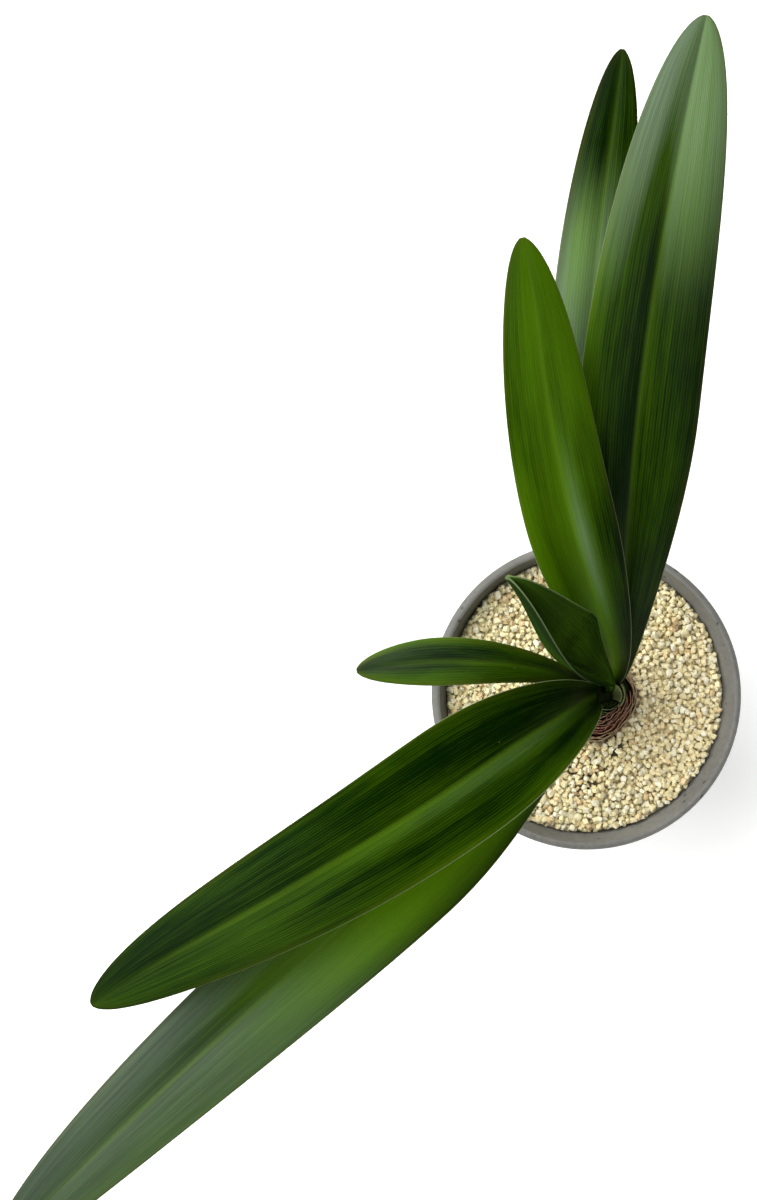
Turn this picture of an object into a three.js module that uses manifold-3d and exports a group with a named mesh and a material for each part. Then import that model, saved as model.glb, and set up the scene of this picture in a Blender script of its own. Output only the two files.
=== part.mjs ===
// Potted amaryllis: a grey pot with soil, a gravel layer, the bulb with its roots
// and papery tunic, and seven strap leaves that stand in the neck of the bulb.
// Millimetres, +Z up. The origin is the centre of the pot's base. The big leaves
// run towards +Y and towards -X -Y.
import * as THREE from 'three'
import { mergeVertices } from 'three/addons/utils/BufferGeometryUtils.js'
import Module from 'manifold-3d'

// Pot: a tapered wall with a straight band at the top, a rounded lip and a bevel
const potRadius = 75
const potHeight = 135
const footRadius = 52
const footRounding = 1.5
const wallThickness = 6
const floorThickness = 9
const bandHeight = 20
const bandStep = 3.2
const lipRadius = 72.3
const lipRounding = 4.5
const bevelRadius = 68.2
const bevelDepth = 12.5
const floorRounding = 3
const potSides = 44

// Filling
const clearance = 0.3
const soilTop = 115
const gravelTop = 121.5
const grainRadius = 4.4
const grainSpread = 5
const grainSeed = 7
const goldenAngle = Math.PI * (3 - Math.sqrt(5))

// Bulb, with its axis a little off the pot's
const bulbX = 5
const bulbY = -2.5
const neckRadius = 17.8
const neckTop = 127
const basalPlate = 30
const bulbWidest = 68
const bulbSides = 24

// Half outline of the bulb from the basal plate up to the neck, as [radius, height]
const bulbOutline = [
  [11, basalPlate],
  [14, 34],
  [26, 41],
  [34, 55],
  [36, bulbWidest],
  [33.5, 83],
  [26, 97],
  [20.5, 107],
  [neckRadius + 0.2, soilTop],
  [neckRadius, neckTop],
]

// Roots, each along points given as [distance from the axis, height over the plate]
const rootCourse = [[7, 6], [13, -1], [21, -8], [30, -12], [38, -14]]
const rootRadius = 2.5
const rootCount = 8
const rootCorners = 5
const rootSwirl = 0.06

// Tunic, the dry papery scales round the neck
const tunicRadius = 19.9
const tunicInner = 17.3
const tunicRims = [10.6, 12.3, 14, 15.7]
const tunicRimThickness = 1.1
const tunicRimHeight = 11
const tunicRimStart = -116
const tunicRimSpan = 118

// Leaves: their bases are nested arcs round one point, standing on the neck
const crownX = 9.9
const crownY = -0.1
const leafFoot = neckTop + 1.5 * clearance
const leafRings = 23
const leafStrips = 3
const ribThickness = 2.4
const footThickness = 1.3
const edgeThickness = 0.9
const tipFullness = 0.55
const tipHalfWidth = 1

// Each leaf: radius of its base arc, length along the midrib, then angles in degrees
// that are blended from the base to the tip. rise is the midrib's slope, heading its
// direction seen from above, roll the turn about the midrib, keel the fold at the
// midrib and arc the further curl out to each edge. width gives the half widths at the
// base and at the widest place, that place along the leaf, how blunt the tip is, and
// how late the leaf widens.
const leaves = {
  leaf_back: {
    radius: 11.4, length: 332, rise: [84, 40, 31, 24, 14, 2],
    heading: [108, 105, 98, 89, 81, 83], roll: [0, 0, 0, 0, -1],
    keel: [0, 16, 28, 26, 10], arc: [39, 36, -95, -60, -20],
    width: [7.8, 17, 0.6, 2.2, 1.5],
  },
  leaf_tall: {
    radius: 9.6, length: 359, rise: [85, 50, 38, 30, 18, 2],
    heading: [86, 103, 94, 84, 81, 78], roll: [0, 1, 2, 2, 3],
    keel: [0, 16, 34, 34, 12], arc: [45, 42, -110, -70, -30],
    width: [7.5, 26.2, 0.56, 2.2, 1.5],
  },
  leaf_middle: {
    radius: 7.8, length: 288, rise: [86, 65, 49, 37, 20, 4],
    heading: [85, 134, 126, 100, 96, 101], roll: [0, 6, 7, 3, 1],
    keel: [0, 20, 32, 24, 8], arc: [43, 42, -110, -60, -20],
    width: [5.8, 19.9, 0.58, 2.1, 1.4],
  },
  leaf_young: {
    radius: 2.6, length: 215, rise: [89, 55, 65, 88, 36],
    heading: [84, 179, 196, 144, 98, 130], roll: [0, -14, -49, -62, -27],
    keel: [0, 51, 65, 40, 72], arc: [50, 10, -10, -10, -5],
    width: [2.6, 24.5, 0.59, 2.5, 1.85],
  },
  leaf_narrow: {
    radius: 8.5, length: 165, rise: [88, 69, 28, 5, -18],
    heading: [150, 155, 169, 183, 191], roll: [0, -1, -1, -1, -1],
    keel: [0, 20, 18, 14, 8], arc: [15, 20, -30, -40, -30],
    width: [2.3, 11.1, 0.77, 1.7, 1.8],
  },
  leaf_broad: {
    radius: 5.4, length: 350, rise: [84, 66, 46, 20, 0, -20],
    heading: [176, 208, 219, 208, 204, 215], roll: [0, -33, -25, -12, -11],
    keel: [0, 24, 28, 24, 10], arc: [58, 46, -90, -60, -20],
    width: [5.5, 27.3, 0.47, 1.8, 1],
  },
  leaf_long: {
    radius: 7.8, length: 432, rise: [80, 44, 26, 6, -6, -22],
    heading: [205, 219, 220, 218, 223, 231], roll: [0, 1, 3, 4, 2],
    keel: [0, 20, 26, 22, 8], arc: [33, 32, -75, -55, -20],
    width: [4.5, 25, 0.42, 1.8, 1.3],
  },
}

const colours = {
  pot: 0x74746f,
  soil: 0x3a2a1c,
  gravel: 0xe6dcbc,
  bulb: 0x8d8f55,
  tunic: 0x6b3a2c,
  leaf: 0x24450f,
}

const wasm = await Module()
wasm.setup()

const radians = (degrees) => degrees * Math.PI / 180

function toSolid(geometry) {
  const bare = geometry.clone()
  bare.deleteAttribute('normal')
  bare.deleteAttribute('uv')
  const merged = mergeVertices(bare, 1e-3)
  return new wasm.Manifold(new wasm.Mesh({
    numProp: 3,
    vertProperties: new Float32Array(merged.attributes.position.array),
    triVerts: new Uint32Array(merged.index.array),
  }))
}

function toGeometry(solid) {
  const { vertProperties, triVerts } = solid.getMesh()
  const geometry = new THREE.BufferGeometry()
  geometry.setAttribute('position', new THREE.Float32BufferAttribute(vertProperties, 3))
  geometry.setIndex(new THREE.Uint32BufferAttribute(triVerts, 1))
  geometry.computeVertexNormals()
  return geometry
}

function makeMesh(name, geometry, colour, roughness) {
  const material = new THREE.MeshStandardMaterial({ color: colour, roughness, metalness: 0 })
  const mesh = new THREE.Mesh(geometry, material)
  mesh.name = name
  return mesh
}

// Outline of [radius, height] points turned about the Z axis
function lathe(points, sides) {
  const outline = points.map(([radius, height]) => new THREE.Vector2(radius, height))
  return new THREE.LatheGeometry(outline, sides).rotateX(Math.PI / 2)
}

function closedLathe(points, sides) {
  return lathe([...points, points[0]], sides)
}

// Points of a quarter ellipse that rises from an upright side to a level top
function rounding(side, foot, inner, top, pieces) {
  return Array.from({ length: pieces + 1 }, (_, i) => {
    const angle = (i / pieces) * Math.PI / 2
    return [inner + (side - inner) * Math.cos(angle), foot + (top - foot) * Math.sin(angle)]
  })
}

// Seeded random numbers from 0 to 1
function makeRandom(seed) {
  let state = seed
  return () => {
    state = (state * 16807) % 2147483647
    return state / 2147483647
  }
}

// Value at t of a smooth curve steered by a list of values
function blend(values, t) {
  let row = values
  while (row.length > 1) row = row.slice(1).map((value, i) => row[i] + (value - row[i]) * t)
  return row[0]
}

// Weighted sum of two directions
function combine(first, firstShare, second, secondShare) {
  return first.clone().multiplyScalar(firstShare).addScaledVector(second, secondShare)
}

function innerRadius(height) {
  const bevelFoot = potHeight - bevelDepth
  const slope = (bevelRadius - footRadius + wallThickness) / (bevelFoot - floorThickness)
  return bevelRadius - slope * (bevelFoot - height)
}

function makePot() {
  const bandFoot = potHeight - bandHeight
  const floorEdge = floorThickness + floorRounding
  return lathe([
    [0, 0],
    [footRadius - footRounding, 0],
    [footRadius, footRounding],
    [potRadius - bandStep, bandFoot - bandStep],
    [potRadius - 0.9, bandFoot],
    [potRadius, bandFoot + bandStep],
    ...rounding(potRadius, potHeight - lipRounding, lipRadius, potHeight, 3),
    [lipRadius - 1.2, potHeight - 0.8],
    [bevelRadius, potHeight - bevelDepth],
    [innerRadius(floorEdge), floorEdge],
    [innerRadius(floorThickness) - floorRounding, floorThickness],
    [0, floorThickness],
  ], potSides)
}

// Bulb body, grown on every side by extra
function makeBulbBody(extra) {
  const grown = bulbOutline.map(([radius, height]) => [
    radius + extra,
    height + extra * Math.sign(height - bulbWidest),
  ])
  const body = lathe([
    [0, basalPlate - extra],
    ...grown,
    [0, neckTop + extra],
  ], bulbSides)
  return body.translate(bulbX, bulbY, 0)
}

// Thick root: starts inside the basal plate, then runs outwards and down
function makeRoot(angle, extra) {
  const points = rootCourse.map(([reach, height], i) => {
    const far = i === rootCourse.length - 1 ? reach + extra : reach
    const turned = angle + i * rootSwirl
    return new THREE.Vector3(
      bulbX + far * Math.cos(turned),
      bulbY + far * Math.sin(turned),
      basalPlate + height,
    )
  })
  const corners = Array.from({ length: rootCorners }, (_, i) => {
    const corner = i * 2 * Math.PI / rootCorners
    const side = rootRadius + extra * 1.3
    return new THREE.Vector2(side * Math.cos(corner), side * Math.sin(corner))
  })
  return new THREE.ExtrudeGeometry(new THREE.Shape(corners), {
    steps: rootCourse.length - 1,
    extrudePath: new THREE.CatmullRomCurve3(points),
  })
}

function makeBulb(extra) {
  let solid = toSolid(makeBulbBody(extra))
  for (let i = 0; i < rootCount; i += 1) {
    const angle = (i + 0.3 * Math.sin(2.1 * i)) * 2 * Math.PI / rootCount
    solid = solid.add(toSolid(makeRoot(angle, extra)))
  }
  return solid
}

function makeSoil() {
  const foot = floorThickness + clearance
  const cornerTop = foot + floorRounding
  const outer = lathe([
    [0, foot],
    [innerRadius(floorThickness) - floorRounding - 2 * clearance, foot],
    [innerRadius(cornerTop) - 1.2 * clearance, cornerTop],
    [innerRadius(soilTop) - 1.2 * clearance, soilTop],
    [0, soilTop],
  ], potSides)
  return toGeometry(toSolid(outer).subtract(makeBulb(1.5 * clearance)))
}

// One faceted grain at the origin, with its size, tilt and turn drawn at random
function makeGrain(random) {
  const size = grainRadius * (0.82 + 0.18 * random())
  const grain = new THREE.IcosahedronGeometry(size, 0)
  grain.scale(1, 0.85, 0.75)
  grain.rotateX(0.6 * random() - 0.3)
  grain.rotateZ(2 * Math.PI * random())
  return grain
}

// Gravel: a bed with grains on a seeded spiral, sunk into it, round the neck
function makeGravel() {
  const random = makeRandom(grainSeed)
  const bedFoot = soilTop + clearance
  const reach = innerRadius(gravelTop) - 2 * clearance
  const bed = lathe([
    [0, bedFoot],
    [innerRadius(bedFoot) - 2 * clearance, bedFoot],
    [reach, gravelTop],
    [0, gravelTop],
  ], potSides)
  let solid = toSolid(bed)
  const rim = reach - grainRadius
  const holeRadius = tunicRadius + 2 * clearance
  for (let i = 1; grainSpread * Math.sqrt(i) < rim + grainSpread; i += 1) {
    const radius = Math.min(grainSpread * Math.sqrt(i) + random() - 0.5, rim)
    const angle = goldenAngle * i + 0.1 * random()
    const x = radius * Math.cos(angle)
    const y = radius * Math.sin(angle)
    const grain = makeGrain(random).translate(x, y, gravelTop + 0.4 + random())
    if (Math.hypot(x - bulbX, y - bulbY) > holeRadius + 1) solid = solid.add(toSolid(grain))
  }
  const hole = lathe([
    [0, bedFoot - grainRadius],
    [holeRadius, bedFoot - grainRadius],
    [holeRadius, gravelTop + 2 * grainRadius],
    [0, gravelTop + 2 * grainRadius],
  ], bulbSides)
  hole.translate(bulbX, bulbY, 0)
  return toGeometry(solid.subtract(toSolid(hole)))
}

// Upright wall along an arc round the bulb's axis
function arcWall(radius, thickness, from, to, bottom, top) {
  const shape = new THREE.Shape()
  shape.absarc(0, 0, radius + thickness / 2, radians(from), radians(to), false)
  shape.absarc(0, 0, radius - thickness / 2, radians(to), radians(from), true)
  const wall = new THREE.ExtrudeGeometry(shape, {
    depth: top - bottom,
    bevelEnabled: false,
    curveSegments: 7,
  })
  return wall.translate(0, 0, bottom)
}

// Tunic: a collar round the neck and, where no leaf stands, thin rims inside it
function makeTunic() {
  const foot = soilTop + 2 * clearance
  const step = neckTop + clearance
  const collar = closedLathe([
    [neckRadius + 2 * clearance, foot],
    [tunicRadius, foot],
    [tunicRadius - 0.1, neckTop + 4],
    [tunicRadius - 0.8, neckTop + 5.5],
    [tunicRadius - 1, neckTop + 4.5],
    [tunicRadius - 1.4, neckTop + 8],
    [tunicRadius - 1.9, neckTop + 7],
    [tunicInner + 0.3, neckTop + 9.5],
    [tunicInner, neckTop + 9],
    [tunicInner, step],
    [neckRadius + 2 * clearance, step],
  ], bulbSides)
  const shelfWidth = tunicInner - tunicRims[0] + 1.5
  const shelfRadius = (tunicRims[0] + tunicInner) / 2
  const rimEnd = tunicRimStart + tunicRimSpan
  const shelf = arcWall(shelfRadius, shelfWidth, tunicRimStart - 2, rimEnd + 2, step, step + 1.5)
  let solid = toSolid(collar).add(toSolid(shelf))
  tunicRims.forEach((radius, i) => {
    const top = neckTop + tunicRimHeight - 0.6 * i
    const turn = 2 * i
    const rim = arcWall(radius, tunicRimThickness, tunicRimStart + turn, rimEnd + turn, step, top)
    solid = solid.add(toSolid(rim))
  })
  return toGeometry(solid.translate(bulbX, bulbY, 0))
}

// Half width of a leaf at t, from 0 at its base to 1 at its tip
function halfWidth(leaf, t) {
  const [base, widest, place, blunt, late] = leaf.width
  const grown = Math.min(t / place, 1)
  const past = Math.max((t - place) / (1 - place), 0)
  const swell = base + (widest - base) * (grown * grown * (3 - 2 * grown)) ** late
  return Math.max(swell * (1 - past ** blunt) ** tipFullness, tipHalfWidth)
}

// Thickness at the midrib: thin at the foot, full a third of the way up, then less
function midThickness(t) {
  const swell = Math.sin(Math.PI * Math.min(1.5 * t, 0.75))
  return footThickness + (ribThickness - footThickness) * swell
}

// Midrib from the base arc on: the slope and heading are followed in short steps
function traceMidrib(leaf, stops) {
  const start = radians(leaf.heading[0])
  const point = new THREE.Vector3(
    crownX + leaf.radius * Math.cos(start),
    crownY + leaf.radius * Math.sin(start),
    leafFoot,
  )
  const steps = 240
  const trace = [point.clone()]
  for (let i = 0; i < steps; i += 1) {
    const t = (i + 0.5) / steps
    const rise = radians(blend(leaf.rise, t))
    const heading = radians(blend(leaf.heading, t))
    point.x += Math.cos(rise) * Math.cos(heading) * leaf.length / steps
    point.y += Math.cos(rise) * Math.sin(heading) * leaf.length / steps
    point.z += Math.sin(rise) * leaf.length / steps
    trace.push(point.clone())
  }
  return stops.map((t) => {
    const place = Math.min(t * steps, steps - 1e-6)
    const i = Math.floor(place)
    return trace[i].clone().lerp(trace[i + 1], place - i)
  })
}

// Side and face directions of the blade at t
function bladeAxes(leaf, t) {
  const rise = radians(blend(leaf.rise, t))
  const heading = radians(blend(leaf.heading, t))
  const roll = radians(blend(leaf.roll, t))
  const flatSide = new THREE.Vector3(Math.sin(heading), -Math.cos(heading), 0)
  const flatFace = new THREE.Vector3(
    -Math.cos(heading) * Math.sin(rise),
    -Math.sin(heading) * Math.sin(rise),
    Math.cos(rise),
  )
  const side = combine(flatSide, Math.cos(roll), flatFace, Math.sin(roll))
  const face = combine(flatFace, Math.cos(roll), flatSide, -Math.sin(roll))
  return { side, face }
}

// One cross-section: points of the upper face from edge to edge, then of the lower
function bladeRing(leaf, t, centre) {
  const { side, face } = bladeAxes(leaf, t)
  const reach = halfWidth(leaf, t)
  const keel = radians(blend(leaf.keel, t))
  const arc = radians(blend(leaf.arc, t)) + 1e-4
  const rib = midThickness(t)
  const upper = []
  const lower = []
  for (let j = -leafStrips; j <= leafStrips; j += 1) {
    const out = Math.abs(j) / leafStrips
    const hand = Math.sign(j)
    const lean = keel + arc * out
    const across = hand * reach * (Math.sin(lean) - Math.sin(keel)) / arc
    const up = reach * (Math.cos(keel) - Math.cos(lean)) / arc
    const half = (rib + (edgeThickness - rib) * out * out) / 2
    const middle = centre.clone().addScaledVector(side, across).addScaledVector(face, up)
    const normal = combine(face, hand ? Math.cos(lean) : 1, side, -hand * Math.sin(lean))
    upper.push(middle.clone().addScaledVector(normal, half))
    lower.unshift(middle.clone().addScaledVector(normal, -half))
  }
  return [...upper, ...lower]
}

// Closed blade from its rings, which lie closer together towards the base and the
// tip; both faces are split into triangles the same way
function makeLeaf(leaf) {
  const stops = Array.from({ length: leafRings + 1 }, (_, i) => {
    const s = i / leafRings
    return s - 0.1 * Math.sin(2 * Math.PI * s)
  })
  const centres = traceMidrib(leaf, stops)
  const rings = stops.map((t, i) => bladeRing(leaf, t, centres[i]))
  const size = rings[0].length
  const strips = size / 2 - 1
  const index = []
  for (let i = 0; i < leafRings; i += 1) {
    for (let j = 0; j < size; j += 1) {
      const next = (j + 1) % size
      const a = i * size + j
      const b = i * size + next
      const c = a + size
      const d = b + size
      if (j < strips) index.push(a, b, d, a, d, c)
      else index.push(a, b, c, b, d, c)
    }
  }
  for (let j = 0; j < strips; j += 1) {
    const k = size - 1 - j
    const end = leafRings * size
    index.push(j, k, j + 1, k, k - 1, j + 1)
    index.push(end + j, end + j + 1, end + k, end + k, end + j + 1, end + k - 1)
  }
  const points = rings.flat().flatMap((point) => point.toArray())
  const geometry = new THREE.BufferGeometry()
  geometry.setAttribute('position', new THREE.Float32BufferAttribute(points, 3))
  geometry.setIndex(index)
  geometry.computeVertexNormals()
  return geometry
}

const plant = new THREE.Group()
plant.add(makeMesh('pot', makePot(), colours.pot, 0.7))
plant.add(makeMesh('soil', makeSoil(), colours.soil, 0.95))
plant.add(makeMesh('gravel', makeGravel(), colours.gravel, 0.8))
plant.add(makeMesh('bulb', toGeometry(makeBulb(0)), colours.bulb, 0.6))
plant.add(makeMesh('tunic', makeTunic(), colours.tunic, 0.7))
for (const [name, leaf] of Object.entries(leaves)) {
  plant.add(makeMesh(name, makeLeaf(leaf), colours.leaf, 0.35))
}

export default plant
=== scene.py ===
# Potted amaryllis seen from straight above: the looks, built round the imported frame.
import math
import random

import bpy
import numpy as np
from mathutils import Euler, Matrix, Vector


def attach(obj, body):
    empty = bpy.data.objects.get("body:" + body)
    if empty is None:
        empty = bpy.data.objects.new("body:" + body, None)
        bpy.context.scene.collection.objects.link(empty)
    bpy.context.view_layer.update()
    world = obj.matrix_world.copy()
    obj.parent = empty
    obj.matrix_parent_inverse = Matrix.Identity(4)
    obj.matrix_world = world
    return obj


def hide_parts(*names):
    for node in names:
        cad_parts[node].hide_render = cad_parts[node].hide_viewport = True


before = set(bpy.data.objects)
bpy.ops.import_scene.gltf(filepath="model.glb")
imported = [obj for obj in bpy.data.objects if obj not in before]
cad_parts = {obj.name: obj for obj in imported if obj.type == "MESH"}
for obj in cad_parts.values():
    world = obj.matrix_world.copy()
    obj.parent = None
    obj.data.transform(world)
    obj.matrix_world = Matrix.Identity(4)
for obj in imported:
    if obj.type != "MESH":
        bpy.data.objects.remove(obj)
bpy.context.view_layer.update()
mm = 0.001  # the pieces are given in millimetres, the stage in metres
mergeReach = 1e-6  # metres
print("frame loaded:", len(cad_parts), "nodes")


# Camera, stage and light

cameraView = {
    "eye": (-0.1011, 0.0463, 1.135),  # straight above, looking down
    "focalPixels": 2066.7,
    "photoHeight": 1200,
    "sensor": 36,
    "clipStart": 0.01,
}

softboxes = [
    # name, place, size in metres, watts, tint
    ("windowLight", (-1.2, 0.65, 1.25), 2.2, 70, (1, 1, 0.98)),
    ("roomLight", (0.7, -0.9, 1.7), 1.5, 8, (1, 0.99, 0.96)),
]

stageLook = {
    "lightAim": (-0.05, 0, 0.15),
    "floorSize": 40,
    "floorColour": (0.9, 0.9, 0.89, 1),
    "floorPatch": (0.85, 0.85, 0.84, 1),
    "patchScale": 9,
    "patchShare": 0.15,
    "floorGlow": 0.3,
    "windowWay": (-0.88, 0.48, 0),  # towards the brighter side of the sky
    "windowSpread": (-0.9, 0.7),  # from facing away from it to facing it
    "windowShare": (0.35, 1.0),
    "skyFoot": (0.3, 0.75),  # heights between which the sky turns bright
    "overhead": (0.955, 0.995),  # heights between which it dims again
    "overheadShare": 0.15,
    "brightSky": (1, 1.01, 1.02, 1),
    "lowSky": (0.02, 0.022, 0.024, 1),
    "haze": (0.72, 0.73, 0.73, 1),  # carries on the floor's pale tone above the horizon
    "hazeBand": (0.04, 0.2),
}


def addCamera(view):
    bpy.ops.object.camera_add(location=view["eye"], rotation=(0, 0, 0))
    camera = bpy.context.object
    camera.name = "camera"
    camera.data.sensor_width = view["sensor"]
    camera.data.lens = view["sensor"] * view["focalPixels"] / view["photoHeight"]
    camera.data.clip_start = view["clipStart"]
    bpy.context.scene.camera = camera
    print("camera ready, lens", round(camera.data.lens, 1), "mm")


def addSoftbox(aim, name, place, size, watts, tint):
    bpy.ops.object.light_add(type="AREA", location=place)
    light = bpy.context.object
    light.name = name
    light.data.size = size
    light.data.energy = watts
    light.data.color = tint
    way = Vector(aim) - Vector(place)
    light.rotation_euler = way.to_track_quat("-Z", "Y").to_euler()
    light.visible_camera = False


# Material nodes

softSpan = (0.3, 0.7)  # the part of a noise that a pattern runs through
crispSpan = (0.35, 0.65)


def addNode(tree, kind, inputs, **settings):
    node = tree.nodes.new("ShaderNode" + kind)
    for name, value in settings.items():
        setattr(node, name, value)
    for name, value in inputs.items():
        if isinstance(value, bpy.types.NodeSocket):
            tree.links.new(value, node.inputs[name])
        else:
            node.inputs[name].default_value = value
    return node


def calc(tree, operation, first, second=0.0):
    return addNode(tree, "Math", {0: first, 1: second}, operation=operation).outputs[0]


def mixColour(tree, factor, first, second, clamp=True):
    # a Mix node's colours go in at 6 and 7 and come out at 2
    mix = addNode(tree, "Mix", {0: factor, 6: first, 7: second}, data_type="RGBA", clamp_factor=clamp)
    return mix.outputs[2]


def remap(tree, value, low, high, toLow=0.0, toHigh=1.0):
    inputs = {0: value, 1: low, 2: high, 3: toLow, 4: toHigh}
    return addNode(tree, "MapRange", inputs, interpolation_type="SMOOTHSTEP").outputs[0]


def noise(tree, vector, scale=1.0, detail=3.0, rough=0.5):
    inputs = {"Vector": vector, "Scale": scale, "Detail": detail, "Roughness": rough}
    return addNode(tree, "TexNoise", inputs).outputs[0]


def stretch(tree, vector, scale, offset=(0, 0, 0)):
    return addNode(tree, "Mapping", {"Vector": vector, "Scale": scale, "Location": offset}).outputs[0]


def readAttribute(tree, name):
    return addNode(tree, "Attribute", {}, attribute_name=name).outputs["Vector"]


def splitVector(tree, vector):
    return addNode(tree, "SeparateXYZ", {0: vector}).outputs


def objectPlace(tree):
    return addNode(tree, "TexCoord", {}).outputs["Object"]


def metres(values):
    return [value * mm for value in values]


def distanceTo(tree, place, spot):
    return addNode(tree, "VectorMath", {0: place, 1: metres(spot)}, operation="DISTANCE").outputs["Value"]


def spots(tree, place, scale, size, patchScale, patches, share):
    # small round spots, only where a broader noise is high
    cells = addNode(tree, "TexVoronoi", {"Vector": place, "Scale": scale}).outputs["Distance"]
    scarce = remap(tree, noise(tree, place, patchScale), *patches)
    return calc(tree, "MULTIPLY", remap(tree, cells, *size, share, 0), scarce)


def addBump(tree, shader, height, strength, distance):
    bump = addNode(tree, "Bump", {"Height": height, "Strength": strength, "Distance": distance})
    tree.links.new(bump.outputs[0], shader.inputs["Normal"])


def startMaterial(name, **values):
    material = bpy.data.materials.new(name)
    material.use_nodes = True
    shader = material.node_tree.nodes["Principled BSDF"]
    for socket, value in values.items():
        shader.inputs[socket.replace("_", " ")].default_value = value
    return material, material.node_tree, shader


def makeFloorMaterial(look):
    material, tree, shader = startMaterial("paleFloor", Roughness=0.9, Emission_Color=(1, 1, 1, 1),
                                           Emission_Strength=look["floorGlow"])
    broad = noise(tree, objectPlace(tree), look["patchScale"])
    patches = remap(tree, broad, *softSpan, 0, look["patchShare"])
    colour = mixColour(tree, patches, look["floorColour"], look["floorPatch"])
    tree.links.new(colour, shader.inputs["Base Color"])
    return material


def setSky(look):
    world = bpy.data.worlds.new("room")
    bpy.context.scene.world = world
    world.use_nodes = True
    tree = world.node_tree
    background = tree.nodes["Background"]
    direction = addNode(tree, "TexCoord", {}).outputs["Generated"]
    towards = addNode(tree, "VectorMath", {0: direction, 1: look["windowWay"]},
                      operation="DOT_PRODUCT").outputs["Value"]
    height = splitVector(tree, direction)["Z"]
    side = remap(tree, towards, *look["windowSpread"], *look["windowShare"])
    rise = remap(tree, height, *look["skyFoot"])
    top = remap(tree, height, *look["overhead"], 1.0, look["overheadShare"])
    glow = calc(tree, "MULTIPLY", calc(tree, "MULTIPLY", side, rise), top)
    colour = mixColour(tree, glow, look["lowSky"], look["brightSky"])
    haze = remap(tree, height, *look["hazeBand"], 1.0, 0.0)
    tree.links.new(mixColour(tree, haze, colour, look["haze"]), background.inputs["Color"])


def buildStage(look):
    bpy.ops.mesh.primitive_plane_add(size=look["floorSize"], location=(0, 0, 0))
    floor = bpy.context.object
    floor.name = "floor"
    floor.data.materials.append(makeFloorMaterial(look))
    floor.visible_glossy = False
    setSky(look)
    for box in softboxes:
        addSoftbox(look["lightAim"], *box)
    bpy.context.scene.view_settings.view_transform = "Standard"
    print("stage, sky and", len(softboxes), "softboxes ready")


# Shared modelling steps

def selectOnly(piece):
    bpy.ops.object.select_all(action="DESELECT")
    piece.select_set(True)
    bpy.context.view_layer.objects.active = piece


def applyModifier(piece, kind, **settings):
    selectOnly(piece)
    modifier = piece.modifiers.new(kind.lower(), kind)
    for name, value in settings.items():
        setattr(modifier, name, value)
    bpy.ops.object.modifier_apply(modifier=modifier.name)


def finishPiece(piece, name, slot, *nodes):
    selectOnly(piece)
    bpy.ops.object.shade_smooth()
    piece.name = name
    piece.data.name = name
    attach(piece, "root")
    if nodes:
        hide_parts(*nodes)


def keepSharpEdges(piece, degrees=40):
    selectOnly(piece)
    bpy.ops.object.shade_smooth_by_angle(angle=math.radians(degrees))


def addAttribute(mesh, name, columns):
    attribute = mesh.attributes.new(name, "FLOAT_VECTOR", "POINT")
    attribute.data.foreach_set("vector", np.stack(columns, 1).astype(np.float32).ravel())


def readPoints(mesh):
    flat = np.empty(len(mesh.vertices) * 3)
    mesh.vertices.foreach_get("co", flat)
    return flat.reshape(-1, 3)


def setPoints(mesh, points):
    mesh.vertices.foreach_set("co", (points * mm).ravel())


def addGrid(columns, rows):
    bpy.ops.object.select_all(action="DESELECT")
    bpy.ops.mesh.primitive_grid_add(x_subdivisions=columns, y_subdivisions=rows, size=2)
    return bpy.context.object


def mergeDoubles():
    # works in edit mode
    bpy.ops.mesh.select_all(action="SELECT")
    bpy.ops.mesh.remove_doubles(threshold=mergeReach)


def joinPieces(pieces):
    selectOnly(pieces[0])
    for piece in pieces[1:]:
        piece.select_set(True)
    bpy.ops.object.join()
    return pieces[0]


def turnOutline(outline, sides):
    # a circle is extruded ring by ring along the outline, a list of radius and height
    rings = [metres(ring) for ring in outline]
    radius, height = rings[0]
    bpy.ops.object.select_all(action="DESELECT")
    bpy.ops.mesh.primitive_circle_add(vertices=sides, radius=radius, fill_type="NOTHING",
                                      location=(0, 0, height))
    piece = bpy.context.object
    bpy.ops.object.transform_apply(location=True)
    bpy.ops.object.mode_set(mode="EDIT")
    bpy.ops.mesh.select_all(action="SELECT")
    for nextRadius, nextHeight in rings[1:]:
        bpy.ops.mesh.extrude_region_move(
            TRANSFORM_OT_translate={"value": (0, 0, nextHeight - height)})
        factor = nextRadius / radius
        bpy.ops.transform.resize(value=(factor, factor, 1), center_override=(0, 0, nextHeight))
        radius, height = nextRadius, nextHeight
    mergeDoubles()
    bpy.ops.object.mode_set(mode="OBJECT")
    return piece


def fillEnds(piece):
    # caps the open rings of a turned outline
    selectOnly(piece)
    bpy.ops.object.mode_set(mode="EDIT")
    bpy.ops.mesh.select_all(action="DESELECT")
    bpy.ops.mesh.select_non_manifold()
    bpy.ops.mesh.edge_face_add()
    bpy.ops.mesh.select_all(action="SELECT")
    bpy.ops.mesh.normals_make_consistent(inside=False)
    bpy.ops.object.mode_set(mode="OBJECT")


# Leaves

crown = {"x": 9.9, "y": -0.1, "foot": 127.45}

bladeForm = {
    "rib": 2.4, "foot": 1.3, "edge": 0.6,  # thickness in millimetres
    "ribGrowth": 1.5, "ribSettles": 0.75,  # the rib is thickest a third of the way along
    "groove": 0.5, "grooveWidth": 1.6,
    "tipFullness": 0.55, "tipHalfWidth": 1,
    "rowLength": 3.4, "stripWidth": 1.8, "fewestStrips": 8, "traceSteps": 240,
    "edgeCrowding": 0.3, "endCrowding": 0.12,  # the mesh is finer at a leaf's edges and ends
}

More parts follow.
